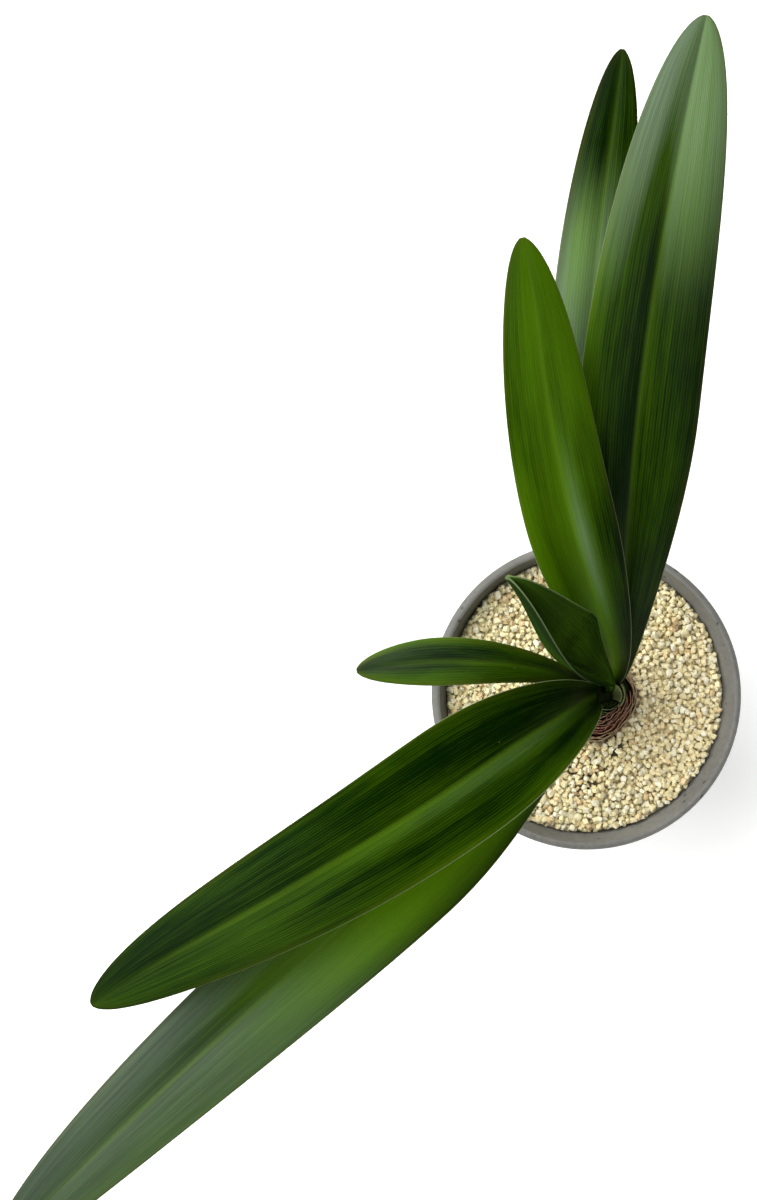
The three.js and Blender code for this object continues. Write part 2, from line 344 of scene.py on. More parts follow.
# Rise, heading, roll, keel and arc are degrees that blend from the base to the tip.
# Width: half width at the base, the widest one, its place, bluntness of the tip, lateness of the swell.
# Near and far: how light the green is at six places across, the leaf's own shades of green with painted
# light and shade; near gives way to far round turn, and the first value of the painted sheen and of the
# pale margin gives way to the second there.
# Sheen: a spot with more painted sheen, or less below 0: place across and along, both its reaches,
# strength.
leaves = {
    "leaf_back": {
        "radius": 11.4, "length": 332, "rise": [84, 40, 31, 24, 14, 2],
        "heading": [108, 105, 98, 89, 81, 83], "roll": [0, 0, 0, 0, -1],
        "keel": [0, 16, 28, 26, 10], "arc": [39, 36, -95, -60, -20],
        "width": [7.8, 17, 0.6, 2.2, 1.5],
        "near": [0, 2.8, 3.1, 0.6, 0.6, 0.7],
        "far": [0, 0, 0.05, 0.2, 0.1, 0.2], "turn": 0.75,
        "paintedSheen": [0.85, 0], "rust": 0.1, "margin": [0.5, 0.6], "gloss": 0.1,
    },
    "leaf_tall": {
        "radius": 9.6, "length": 359, "rise": [85, 50, 38, 30, 18, 2],
        "heading": [86, 103, 94, 84, 81, 78], "roll": [0, 1, 2, 2, 3],
        "keel": [0, 16, 34, 34, 12], "arc": [45, 42, -110, -70, -30],
        "width": [7.5, 26.2, 0.56, 2.2, 1.5],
        "near": [0.5, 0.1, 0, 0.15, 0.15, 0.05],
        "far": [0.25, 0.3, 0.4, 0.7, 0.9, 0.55], "turn": 0.79,
        "paintedSheen": [0, 0.42], "rust": 0.1, "margin": [0.5, 0.6], "gloss": 0.2,
        "sheen": [-0.25, 0.78, 0.2, 0.18, -0.42],
    },
    "leaf_middle": {
        "radius": 7.8, "length": 288, "rise": [86, 65, 49, 37, 20, 4],
        "heading": [85, 134, 126, 100, 96, 101], "roll": [0, 6, 7, 3, 1],
        "keel": [0, 20, 32, 24, 8], "arc": [43, 42, -110, -60, -20],
        "width": [5.8, 19.9, 0.58, 2.1, 1.4],
        "near": [0.8, 0.4, 0.9, 1.1, 0.2, 0],
        "far": [0.25, 0.35, 0.7, 0.4, 0.55, 0.6], "turn": 0.65,
        "paintedSheen": [0, 0], "rust": 0.1, "margin": [0.7, 0.6], "gloss": 0.06,
        "sheen": [0.2, 0.5, 0.13, 0.13, 0.45],
    },
    "leaf_young": {
        "radius": 2.6, "length": 215, "rise": [89, 55, 65, 88, 36],
        "heading": [84, 179, 196, 144, 98, 130], "roll": [0, -14, -49, -62, -27],
        "keel": [0, 51, 65, 40, 72], "arc": [50, 10, -10, -10, -5],
        "width": [2.6, 24.5, 0.59, 2.5, 1.85],
        "near": [0, 0.35, 0.3, 0.25, 0.3, 0.15],
        "far": [0, 0, 0.1, 0.35, 0.35, 0.25], "turn": 0.76,
        "paintedSheen": [0.02, 0.03], "rust": 0, "margin": [0, 0.5], "gloss": 0,
    },
    "leaf_narrow": {
        "radius": 8.5, "length": 165, "rise": [88, 69, 28, 5, -18],
        "heading": [150, 155, 169, 183, 191], "roll": [0, -1, -1, -1, -1],
        "keel": [0, 20, 18, 14, 8], "arc": [15, 20, -30, -40, -30],
        "width": [2.3, 11.1, 0.77, 1.7, 1.8],
        "near": [0.25, 0.35, 0.3, 0.1, 0.15, 0.35],
        "far": [0.8, 0.4, 0, 0, 0, 0.8], "turn": 0.7,
        "paintedSheen": [0, 0.05], "rust": 0.25, "margin": [0.3, 0.7], "gloss": 0.15,
    },
    "leaf_broad": {
        "radius": 5.4, "length": 350, "rise": [84, 66, 46, 20, 0, -20],
        "heading": [176, 208, 219, 208, 204, 215], "roll": [0, -33, -25, -12, -11],
        "keel": [0, 24, 28, 24, 10], "arc": [58, 46, -90, -60, -20],
        "width": [5.5, 27.3, 0.47, 1.8, 1],
        "near": [0.35, 0, 0.45, 0.15, 0, 0.2],
        "far": [0.15, 0.2, 0.1, 0.1, 0.05, 0.1], "turn": 0.7,
        "paintedSheen": [0, 0.02], "rust": 0.1, "margin": [0.9, 0.6], "gloss": 0.02,
        "sheen": [-0.15, 0.38, 0.12, 0.2, 0.08],
    },
    "leaf_long": {
        "radius": 7.8, "length": 432, "rise": [80, 44, 26, 6, -6, -22],
        "heading": [205, 219, 220, 218, 223, 231], "roll": [0, 1, 3, 4, 2],
        "keel": [0, 20, 26, 22, 8], "arc": [33, 32, -75, -55, -20],
        "width": [4.5, 25, 0.42, 1.8, 1.3],
        "near": [0.2, 1.4, 1.7, 1.3, 1.6, 2.2],
        "far": [0.5, 0.25, 0.05, 0.25, 0.05, 0], "turn": 0.56,
        "paintedSheen": [0, 0.26], "rust": 0.1, "margin": [0.6, 0.6], "gloss": 0.2,
        "sheen": [0.24, 0.62, 0.2, 0.13, -0.22],
    },
}

leafLook = {
    # dark and the green after it are the two ends of the tone, which paints light and shade over the leaf's
    # own shades of green
    "dark": (0.0015, 0.009, 0.0002, 1),
    "lightGreen": (0.065, 0.15, 0.0012, 1),
    # the colour of the painted sheen, the sky's reflection painted into the leaf
    "paintedSheen": (0.165, 0.22, 0.155, 1),
    "rib": (0.1, 0.19, 0.01, 1),
    # the pale margin: partly the edge's own colour, partly a painted highlight where the edge catches light
    "margin": (0.17, 0.22, 0.1, 1),
    "foot": (0.06, 0.1, 0.012, 1),
    "under": (0.04, 0.085, 0.015, 1),
    "speck": (0.3, 0.34, 0.2, 1),
    "rust": (0.09, 0.045, 0.008, 1),
    "stops": [-1, -0.55, -0.06, 0.06, 0.55, 1],  # the six places across of the near and far values
    "turnSpan": 0.28,  # share of the length in which near gives way to far
    "veins": 1.7,  # for each millimetre of half width
    "streakTone": (-0.07, 0.08), "cloudTone": (-0.06, 0.06), "fineTone": (-0.04, 0.04), "veinTone": 0.06,
    # streaks break up the painted sheen within these shares
    "paintedSheenStreaks": (0.75, 1.1),
    "ribReach": (0.3, 2.6), "ribShare": 0.2,  # these reaches are in millimetres
    "rustReach": (0.4, 3.5),
    "marginReach": (0.1, 0.4),
    "rustStart": (0.15, 0.35),  # and these are shares of the length
    "footReach": (0.005, 0.04), "footShare": 0.4,
    "specks": {"scale": 110, "size": (0.03, 0.06), "patchScale": 45, "patches": (0.62, 0.64), "share": 0.7},
    "underShare": 0.13,
    "roughness": (0.28, 0.4),
}


def blend(values, along):
    row = list(values)
    while len(row) > 1:
        row = [first + (second - first) * along for first, second in zip(row, row[1:])]
    return row[0]


def blendAngle(values, along):
    return np.radians(blend(values, along))


def ease(share):
    return share * share * (3 - 2 * share)


def halfWidth(leaf, along):
    base, widest, place, blunt, late = leaf["width"]
    grown = ease(np.minimum(along / place, 1)) ** late
    past = np.clip((along - place) / (1 - place), 0, 1)
    taper = (1 - past ** blunt) ** bladeForm["tipFullness"]
    return np.maximum((base + (widest - base) * grown) * taper, bladeForm["tipHalfWidth"])


def traceMidrib(leaf, along):
    steps = bladeForm["traceSteps"]
    middle = (np.arange(steps) + 0.5) / steps
    rise = blendAngle(leaf["rise"], middle)
    heading = blendAngle(leaf["heading"], middle)
    start = math.radians(leaf["heading"][0])
    foot = np.array([crown["x"] + leaf["radius"] * math.cos(start),
                     crown["y"] + leaf["radius"] * math.sin(start),
                     crown["foot"]])
    ways = np.stack([np.cos(rise) * np.cos(heading), np.cos(rise) * np.sin(heading), np.sin(rise)], 1)
    trace = np.vstack([foot, foot + np.cumsum(ways * leaf["length"] / steps, 0)])
    marks = np.linspace(0, 1, steps + 1)
    return np.stack([np.interp(along, marks, trace[:, axis]) for axis in range(3)], 1)


def bladeAxes(leaf, along):
    rise = blendAngle(leaf["rise"], along)
    heading = blendAngle(leaf["heading"], along)
    roll = blendAngle(leaf["roll"], along)[:, None]
    flatSide = np.stack([np.sin(heading), -np.cos(heading), np.zeros_like(heading)], 1)
    flatFace = np.stack([-np.cos(heading) * np.sin(rise), -np.sin(heading) * np.sin(rise),
                         np.cos(rise)], 1)
    side = flatSide * np.cos(roll) + flatFace * np.sin(roll)
    face = flatFace * np.cos(roll) - flatSide * np.sin(roll)
    return side, face


def shapeBlade(leaf, across, along):
    # place of each point of the blade's middle surface, its half width and its thickness
    leastArc = 1e-4  # an arc of 0 would divide by 0
    onRib = 1e-3
    side, face = bladeAxes(leaf, along)
    reach = halfWidth(leaf, along)
    out = np.abs(across)
    hand = np.sign(across)
    keel = blendAngle(leaf["keel"], along)
    arc = blendAngle(leaf["arc"], along)
    arc = np.where(np.abs(arc) < leastArc, leastArc, arc)
    lean = keel + arc * out
    sideways = hand * reach * (np.sin(lean) - np.sin(keel)) / arc
    upwards = reach * (np.cos(keel) - np.cos(lean)) / arc
    grown = np.sin(np.pi * np.minimum(bladeForm["ribGrowth"] * along, bladeForm["ribSettles"]))
    rib = bladeForm["foot"] + (bladeForm["rib"] - bladeForm["foot"]) * grown
    thickness = rib + (bladeForm["edge"] - rib) * out * out
    tilt = np.where(out < onRib, 0, lean)
    normal = face * np.cos(tilt)[:, None] - side * (hand * np.sin(tilt))[:, None]
    groove = bladeForm["groove"] * grown * np.exp(-(out * reach / bladeForm["grooveWidth"]) ** 2)
    place = traceMidrib(leaf, along) + side * sideways[:, None] + face * upwards[:, None]
    return place - normal * groove[:, None], reach, thickness


def bladeTone(leaf, across, along):
    # how light the green is, its own shades with painted light and shade, how much painted sheen lies on it
    # and how pale the margin is, which is partly a painted highlight
    late = ease(np.clip((along - leaf["turn"]) / leafLook["turnSpan"] + 0.5, 0, 1))
    near = np.interp(across, leafLook["stops"], leaf["near"])
    far = np.interp(across, leafLook["stops"], leaf["far"])
    paintedSheen = blend(leaf["paintedSheen"], late)
    # a sheen spot paints more highlight, or takes painted sheen away below 0
    if "sheen" in leaf:
        sheenAcross, sheenAlong, width, length, strength = leaf["sheen"]
        fromSpot = ((across - sheenAcross) / width) ** 2 + ((along - sheenAlong) / length) ** 2
        paintedSheen = paintedSheen + strength * np.exp(-fromSpot)
    return blend([near, far], late), paintedSheen, blend(leaf["margin"], late)


def readBlade(tree, leaf):
    # where a point of the blade lies, its tones, and patterns that follow the veins
    place = readAttribute(tree, "blade")
    parts = splitVector(tree, place)
    reach = splitVector(tree, readAttribute(tree, "reach"))
    tones = splitVector(tree, readAttribute(tree, "tone"))
    veins = leafLook["veins"] * leaf["width"][1]
    shift = leaf["length"]  # moves the patterns, so that no two leaves have the same ones
    streaks = noise(tree, stretch(tree, place, (veins * 0.35, 5, 1), (shift, 0, 0)), detail=4)
    clouds = noise(tree, stretch(tree, place, (1.6, 6, 1), (0, shift, 0)), detail=2)
    fine = noise(tree, stretch(tree, place, (veins * 2.5, 30, 1)))
    ridges = calc(tree, "SINE", calc(tree, "MULTIPLY", parts["X"], veins * math.pi))
    return {
        "along": parts["Y"], "fromRib": reach["X"], "fromEdge": reach["Y"],
        "tone": tones["X"], "paintedSheen": tones["Y"], "margin": tones["Z"],
        "streaks": streaks, "clouds": clouds, "fine": fine, "ridges": ridges,
    }


def bladeGreen(tree, blade):
    look = leafLook
    # the tone paints light and shade as well as the leaf's own shades of green
    tone = calc(tree, "ADD", blade["tone"], remap(tree, blade["streaks"], 0.3, 0.75, *look["streakTone"]))
    tone = calc(tree, "ADD", tone, remap(tree, blade["clouds"], *softSpan, *look["cloudTone"]))
    tone = calc(tree, "ADD", tone, remap(tree, blade["fine"], *crispSpan, *look["fineTone"]))
    tone = calc(tree, "ADD", tone, calc(tree, "MULTIPLY", blade["ridges"], look["veinTone"]))
    tone = calc(tree, "MAXIMUM", tone, 0.0)
    colour = mixColour(tree, tone, look["dark"], look["lightGreen"], clamp=False)  # a tone may pass 1
    # the painted sheen, a reflection of the sky painted into the colour, is mixed over the green
    streaks = remap(tree, blade["streaks"], *softSpan, *look["paintedSheenStreaks"])
    return mixColour(tree, calc(tree, "MULTIPLY", blade["paintedSheen"], streaks), colour, look["paintedSheen"])


def markBlade(tree, blade, colour, rustShare):
    # the pale rib, the foot, rusty patches along the edge, the pale margin, partly the edge's own colour
    # and partly a painted highlight, and the specks
    look = leafLook
    rib = calc(tree, "MULTIPLY", remap(tree, blade["fromRib"], *look["ribReach"], look["ribShare"], 0.0),
               remap(tree, blade["along"], 0.75, 1.0, 1.0, 0.2))
    colour = mixColour(tree, rib, colour, look["rib"])
    foot = remap(tree, blade["along"], *look["footReach"], look["footShare"], 0.0)
    colour = mixColour(tree, foot, colour, look["foot"])
    rust = calc(tree, "MULTIPLY", remap(tree, blade["fromEdge"], *look["rustReach"], rustShare, 0.0),
                remap(tree, blade["clouds"], 0.4, 0.6, 0.3, 1.0))
    rust = calc(tree, "MULTIPLY", rust, remap(tree, blade["along"], *look["rustStart"]))
    colour = mixColour(tree, rust, colour, look["rust"])
    # the pale margin, partly a painted highlight along the edge
    margin = calc(tree, "MULTIPLY", remap(tree, blade["fromEdge"], *look["marginReach"], 1.0, 0.0),
                  blade["margin"])
    colour = mixColour(tree, margin, colour, look["margin"])
    return mixColour(tree, spots(tree, objectPlace(tree), **look["specks"]), colour, look["speck"])


def makeLeafMaterial(name, leaf, under):
    material, tree, shader = startMaterial(name + ("_under" if under else "_upper"),
                                           IOR=1.25, Specular_IOR_Level=leaf["gloss"])
    blade = readBlade(tree, leaf)
    colour = markBlade(tree, blade, bladeGreen(tree, blade), leaf["rust"])
    if under:
        colour = mixColour(tree, leafLook["underShare"], colour, leafLook["under"])
    tree.links.new(colour, shader.inputs["Base Color"])
    height = calc(tree, "ADD", calc(tree, "MULTIPLY", blade["ridges"], 0.5), blade["fine"])
    addBump(tree, shader, height, strength=0.5, distance=0.1 * mm)
    roughness = remap(tree, blade["fine"], *softSpan, *leafLook["roughness"])
    tree.links.new(roughness, shader.inputs["Roughness"])
    return material


def makeLeaf(name, leaf):
    form = bladeForm
    rows = int(leaf["length"] / form["rowLength"])
    strips = 2 * max(form["fewestStrips"], round(leaf["width"][1] / form["stripWidth"]))
    piece = addGrid(strips, rows)
    mesh = piece.data
    flat = readPoints(mesh)
    across = flat[:, 0] * (1 + form["edgeCrowding"] - form["edgeCrowding"] * np.abs(flat[:, 0]))
    share = (flat[:, 1] + 1) / 2
    along = np.clip(share - form["endCrowding"] * np.sin(2 * np.pi * share), 0, 1)
    place, reach, thickness = shapeBlade(leaf, across, along)
    setPoints(mesh, place)
    out = np.abs(across)
    fromEdge = np.minimum((1 - out) * reach, (1 - along) * leaf["length"])
    addAttribute(mesh, "blade", [across, along, np.zeros_like(along)])
    addAttribute(mesh, "reach", [out * reach, fromEdge, np.zeros_like(along)])
    # the tone attribute holds painted light and shade, painted sheen and the margin's paleness
    addAttribute(mesh, "tone", bladeTone(leaf, across, along))
    group = piece.vertex_groups.new(name="thickness")
    for index, value in enumerate(thickness / form["rib"]):
        group.add([index], float(value), "REPLACE")
    mesh.materials.append(makeLeafMaterial(name, leaf, under=False))
    mesh.materials.append(makeLeafMaterial(name, leaf, under=True))
    applyModifier(piece, "SOLIDIFY", thickness=form["rib"] * mm, offset=0,
                  vertex_group="thickness", material_offset=1)
    applyModifier(piece, "SUBSURF", levels=1, render_levels=1)
    finishPiece(piece, name + "_blade", "leaf", name)
    print(name, len(piece.data.polygons), "faces")


# Pot

potForm = {
    "radius": 75, "height": 135, "footRadius": 52, "wall": 6, "floor": 9,
    "band": 20, "bandStep": 3.2, "lipRadius": 72.3, "lipRounding": 4.5, "lipSteps": 6,
    "bevelRadius": 68.2, "bevelDepth": 12.5, "sides": 128,
    "castTones": [(0.15, 0.147, 0.135, 1), (0.205, 0.2, 0.183, 1)],
    "grainTone": (0.28, 0.272, 0.248, 1), "grainShare": 0.25,
    "paintedShadeTone": (0.045, 0.046, 0.038, 1), "paintedShadeShare": 0.55,  # painted shade: a darker patch on the lip's left side
    "paintedShadePlace": (-68, 26, 135), "paintedShadeReach": (40, 105), "paintedShadeFray": 15,
    "pitTone": (0.03, 0.03, 0.028, 1), "pitShare": 0.8,
    "pits": {"scale": 160, "size": (0.1, 0.2), "patchScale": 70, "patches": (0.52, 0.56), "share": 1},
}


def innerRadius(height):
    form = potForm
    bevelFoot = form["height"] - form["bevelDepth"]
    slope = (form["bevelRadius"] - form["footRadius"] + form["wall"]) / (bevelFoot - form["floor"])
    return form["bevelRadius"] - slope * (bevelFoot - height)


def makePotMaterial(form):
    material, tree, shader = startMaterial("castGrey", Roughness=0.75)
    place = objectPlace(tree)
    clouds = noise(tree, place, scale=22, detail=5, rough=0.6)
    grain = noise(tree, place, scale=420, rough=0.6)
    colour = mixColour(tree, remap(tree, clouds, *softSpan), *form["castTones"])
    pale = remap(tree, grain, *crispSpan, 0, form["grainShare"])
    colour = mixColour(tree, pale, colour, form["grainTone"])
    # painted shade: the colour darkens round a spot on the lip's left side, with a frayed edge
    fray = form["paintedShadeFray"] * mm
    gap = calc(tree, "ADD", distanceTo(tree, place, form["paintedShadePlace"]),
               remap(tree, clouds, *softSpan, -fray, fray))
    paintedShade = remap(tree, gap, *metres(form["paintedShadeReach"]), form["paintedShadeShare"], 0.0)
    colour = mixColour(tree, paintedShade, colour, form["paintedShadeTone"])
    pits = spots(tree, place, **form["pits"])
    colour = mixColour(tree, calc(tree, "MULTIPLY", pits, form["pitShare"]), colour, form["pitTone"])
    tree.links.new(colour, shader.inputs["Base Color"])
    height = calc(tree, "SUBTRACT", calc(tree, "MULTIPLY", grain, 0.4), pits)
    addBump(tree, shader, height, strength=0.5, distance=0.3 * mm)
    return material


def makePot(form):
    foot, outside = form["footRadius"], form["radius"]
    lipInside, inside = form["lipRadius"], form["bevelRadius"]
    top, floor, step = form["height"], form["floor"], form["bandStep"]
    bandFoot = top - form["band"]
    bevelFoot = top - form["bevelDepth"]
    lip = []
    for index in range(form["lipSteps"] + 1):
        angle = index / form["lipSteps"] * math.pi / 2
        lip.append((lipInside + (outside - lipInside) * math.cos(angle),
                    top - form["lipRounding"] * (1 - math.sin(angle))))
    # the corners are eased by a millimetre or so, as on a cast pot
    outline = [
        (foot - 2, 0), (foot - 0.4, 0.4), (foot, 2),
        (outside - step - 0.1, bandFoot - step), (outside - 2, bandFoot - 1.5),
        (outside - 0.5, bandFoot + 0.5), (outside, bandFoot + step), *lip,
        (lipInside - 0.9, top - 0.3), (lipInside - 1.3, top - 1.2),
        (inside + 0.3, bevelFoot + 0.7), (inside, bevelFoot), (inside - 0.2, bevelFoot - 1),
        (innerRadius(floor + 3), floor + 3), (innerRadius(floor) - 3, floor),
    ]
    piece = turnOutline(outline, form["sides"])
    fillEnds(piece)
    piece.data.materials.append(makePotMaterial(form))
    finishPiece(piece, "pot_body", "pot", "pot")
    keepSharpEdges(piece)
    print("pot", len(piece.data.polygons), "faces")


# Bulb, the leaf sheaths in its neck, its dry tunic, and the soil

bulbForm = {
    "x": 5, "y": -2.5, "sides": 72,
    "outline": [(11, 30), (14, 34), (21, 37), (26, 41), (31, 48), (34, 55), (35.7, 62), (36, 68),
                (35.3, 76), (33.5, 83), (30.2, 90), (26, 97), (22.8, 102), (20.5, 107),
                (18.8, 112), (18, 116), (17.8, 126), (17, 127)],  # radius, height
    "roots": 8, "rootScatter": 0.3, "rootSwirl": 0.06, "rootRadius": 2.3, "rootTaper": 0.09,
    "rootCourse": [(7, 36), (13, 29), (21, 22), (30, 18), (38, 16)],  # reach, height
    "rootTones": [(0.5, 0.42, 0.28, 1), (0.65, 0.58, 0.42, 1)],
    "skinTones": [(0.2, 0.1, 0.045, 1), (0.33, 0.2, 0.1, 1)],
    # the neck's near-black green is painted shade of the deep neck between the leaf bases, over its own
    # green
    "neckTones": [(0.006, 0.011, 0.001, 1), (0.02, 0.03, 0.004, 1)],
    "skinFrom": (30, 42), "neckFrom": (115, 124),  # heights in which these tones take over
}

scaleForm = {
    "rows": 8, "fewestColumns": 40, "columnsPerDegree": 0.6, "thickness": 0.45, "seed": 11,
    "gravelFoot": 115.9, "neckFoot": 127.2,
    "wave": 0.9, "sheathWave": 0.2, "waveCounts": (3, 5, 9, 14),  # ripples of the sheet
    "ragged": 1.3, "sheathRagged": 0.3, "raggedCounts": (7, 13, 23, 41),  # and of its rim's height
    "dentTurn": -0.7, "dentSpan": 0.55, "dentDepth": 3,  # turn and span in radians
    "dentRadius": 20,  # a scale of this radius takes the whole dent, a narrower one less
}

tunicScales = [
    # radius at the foot and at the rim, start and span in degrees, rim height, paleness
    (19.7, 20.3, 0, 360, 127.5, 0.95),
    (19.0, 19.2, 0, 360, 130.0, 0.85),
    (18.4, 17.9, 0, 360, 132.5, 0.5),
    (17.2, 15.9, -126, 142, 133.8, 0.45),
    (15.9, 14.6, -122, 134, 135.0, 0.15),
    (14.6, 13.3, -116, 124, 135.7, 0.35),
    (13.3, 12.1, -110, 112, 136.2, 0.2),
    (12.0, 10.8, -106, 98, 136.5, 0.45),
    (10.8, 9.7, -104, 84, 136.4, 0.15),
    (9.6, 8.6, -100, 66, 136.2, 0.35),
]

neckSheaths = [
    # the same columns
    (9.9, 7.9, -38, 80, 136.5, 2.6),
    (9.0, 9.3, -112, 92, 129.6, 0.3),
    (8.1, 8.3, -114, 90, 131.2, 0.5),
    (6.6, 6.9, -116, 88, 133.5, 1.4),
    (3.4, 5.9, -118, 84, 130.5, 0),
    (2.4, 6.7, -28, 132, 135.5, 2.6),  # pale all over, as it shows its inner side
]

paperLook = {
    "dark": (0.07, 0.02, 0.012, 1), "warm": (0.28, 0.09, 0.055, 1), "pale": (0.5, 0.37, 0.2, 1),
    "roughness": 0.5,
}
sheathLook = {
    "dark": (0.015, 0.03, 0.003, 1), "warm": (0.05, 0.075, 0.012, 1), "pale": (0.24, 0.29, 0.1, 1),
    "roughness": 0.4,
}
rimLook = {"start": 1.1, "drop": 0.3, "span": 0.2, "folds": 0.3}  # a paler scale's rim starts lower

soilLook = {"tones": [(0.018, 0.011, 0.007, 1), (0.07, 0.045, 0.028, 1)], "crumbScale": 300}


def dent(turn):
    # the gravel presses the tunic in on one side
    form = scaleForm
    return form["dentDepth"] * math.exp(-((turn - form["dentTurn"]) / form["dentSpan"]) ** 2)


def ripple(turn, counts, size):
    wave = np.zeros_like(turn)
    for count in counts:
        wave += size / len(counts) * np.sin(count * turn + random.uniform(0, 2 * math.pi))
    return wave


def makeScaleMaterial(name, look):
    material, tree, shader = startMaterial(name, Roughness=look["roughness"])
    scale = readAttribute(tree, "scale")
    parts = splitVector(tree, scale)
    fibres = noise(tree, stretch(tree, scale, (1.6, 1.2, 1)), detail=4, rough=0.6)
    folds = noise(tree, stretch(tree, scale, (0.25, 3, 1)))
    colour = mixColour(tree, remap(tree, fibres, *crispSpan), look["dark"], look["warm"])
    low = calc(tree, "SUBTRACT", rimLook["start"], calc(tree, "MULTIPLY", parts["Z"], rimLook["drop"]))
    high = calc(tree, "ADD", low, rimLook["span"])
    up = calc(tree, "ADD", parts["Y"], calc(tree, "MULTIPLY", folds, rimLook["folds"]))
    rim = remap(tree, up, low, high)
    pale = calc(tree, "MULTIPLY", rim, calc(tree, "MINIMUM", parts["Z"], 1.0))
    colour = mixColour(tree, pale, colour, look["pale"])
    tree.links.new(colour, shader.inputs["Base Color"])
    addBump(tree, shader, calc(tree, "ADD", fibres, folds), strength=0.8, distance=0.6 * mm)
    return material


def makeScale(form, scale, centre, foot, wave, ragged):
    # a thin upright sheet along an arc, with a wavy and ragged rim
    footRadius, rimRadius, start, span, rim, pale = scale
    piece = addGrid(max(form["fewestColumns"], round(span * form["columnsPerDegree"])), form["rows"])
    mesh = piece.data
    flat = readPoints(mesh)
    turn = np.radians(start + span * (flat[:, 0] + 1) / 2)
    up = (flat[:, 1] + 1) / 2
    bearings = np.arctan2(np.sin(turn), np.cos(turn))  # the same turns, between -pi and pi
    pressed = np.array([dent(bearing) for bearing in bearings]) * up
    radius = footRadius + (rimRadius - footRadius) * up
    radius = radius + ripple(turn, form["waveCounts"], wave) * up ** 1.5
    radius = radius - pressed * (footRadius / form["dentRadius"]) ** 3
    height = foot + (rim - foot + ripple(turn, form["raggedCounts"], ragged)) * up
    x = centre[0] + radius * np.cos(turn)
    y = centre[1] + radius * np.sin(turn)
    setPoints(mesh, np.stack([x, y, height], 1))
    addAttribute(mesh, "scale", [turn * footRadius, up, np.full_like(up, pale)])
    if span == 360:
        selectOnly(piece)
        bpy.ops.object.mode_set(mode="EDIT")
        mergeDoubles()
        bpy.ops.object.mode_set(mode="OBJECT")
    applyModifier(piece, "SOLIDIFY", thickness=form["thickness"] * mm, offset=0)
    return piece


def makeTunic(form):
    random.seed(form["seed"])
    centre = (bulbForm["x"], bulbForm["y"])
    pieces = []
    for scale in tunicScales:
        foot = form["gravelFoot"] if scale[3] == 360 else form["neckFoot"]
        pieces.append(makeScale(form, scale, centre, foot, form["wave"], form["ragged"]))
    piece = joinPieces(pieces)
    piece.data.materials.append(makeScaleMaterial("dryPaper", paperLook))
    finishPiece(piece, "tunic_scales", "tunic", "tunic")
    print("tunic", len(tunicScales), "scales")


def makeSheaths(form):
    centre = (crown["x"], crown["y"])
    foot, wave, ragged = form["neckFoot"], form["sheathWave"], form["sheathRagged"]
    pieces = [makeScale(form, scale, centre, foot, wave, ragged) for scale in neckSheaths]
    piece = joinPieces(pieces)
    piece.data.materials.append(makeScaleMaterial("paleSheath", sheathLook))
    finishPiece(piece, "neck_sheaths", "bulb")
    print("neck", len(neckSheaths), "sheaths")


def makeBulbMaterial(form):
    material, tree, shader = startMaterial("bulbSkin", Roughness=0.7, Specular_IOR_Level=0.1)
    place = objectPlace(tree)
    height = splitVector(tree, place)["Z"]
    streaks = noise(tree, stretch(tree, place, (260, 260, 14)), detail=4)
    skin = mixColour(tree, remap(tree, streaks, *crispSpan), *form["skinTones"])
    root = mixColour(tree, remap(tree, streaks, *softSpan), *form["rootTones"])
    neck = mixColour(tree, remap(tree, streaks, *softSpan), *form["neckTones"])
    colour = mixColour(tree, remap(tree, height, *metres(form["skinFrom"])), root, skin)
    colour = mixColour(tree, remap(tree, height, *metres(form["neckFrom"])), colour, neck)
    tree.links.new(colour, shader.inputs["Base Color"])
    addBump(tree, shader, streaks, strength=0.4, distance=0.4 * mm)
    return material


def makeRoot(form, index):
    scatter = form["rootScatter"] * math.sin(2.1 * index)  # so that the roots aren't evenly spaced
    angle = (index + scatter) * 2 * math.pi / form["roots"]
    bpy.ops.object.select_all(action="DESELECT")
    bpy.ops.curve.primitive_nurbs_path_add(location=(0, 0, 0))
    piece = bpy.context.object
    spline = piece.data.splines[0]
    for step, (point, (reach, height)) in enumerate(zip(spline.points, form["rootCourse"])):
        turn = angle + step * form["rootSwirl"]
        x = form["x"] + reach * math.cos(turn)
        y = form["y"] + reach * math.sin(turn)
        point.co = (x * mm, y * mm, height * mm, 1)
        point.radius = 1 - form["rootTaper"] * step
    piece.data.bevel_depth = form["rootRadius"] * mm
    piece.data.bevel_resolution = 3
    piece.data.use_fill_caps = True
    bpy.ops.object.convert(target="MESH")
    return bpy.context.object


def makeBulb(form):
    body = turnOutline(form["outline"], form["sides"])
    fillEnds(body)
    body.location = (form["x"] * mm, form["y"] * mm, 0)
    bpy.ops.object.transform_apply(location=True)
    pieces = [body] + [makeRoot(form, index) for index in range(form["roots"])]
    piece = joinPieces(pieces)
    piece.data.materials.clear()
    piece.data.materials.append(makeBulbMaterial(form))
    finishPiece(piece, "bulb_body", "bulb", "bulb")
    keepSharpEdges(piece)
    print("bulb", len(piece.data.polygons), "faces")


def coverSoil(look):
    material, tree, shader = startMaterial("pottingSoil", Roughness=0.95)
    crumbs = noise(tree, objectPlace(tree), look["crumbScale"], detail=5, rough=0.7)
    colour = mixColour(tree, remap(tree, crumbs, *crispSpan), *look["tones"])
    tree.links.new(colour, shader.inputs["Base Color"])
    addBump(tree, shader, crumbs, strength=0.8, distance=1 * mm)
    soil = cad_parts["soil"]
    for slot in soil.material_slots:
        slot.material = material
    print("soil covered")


# Gravel

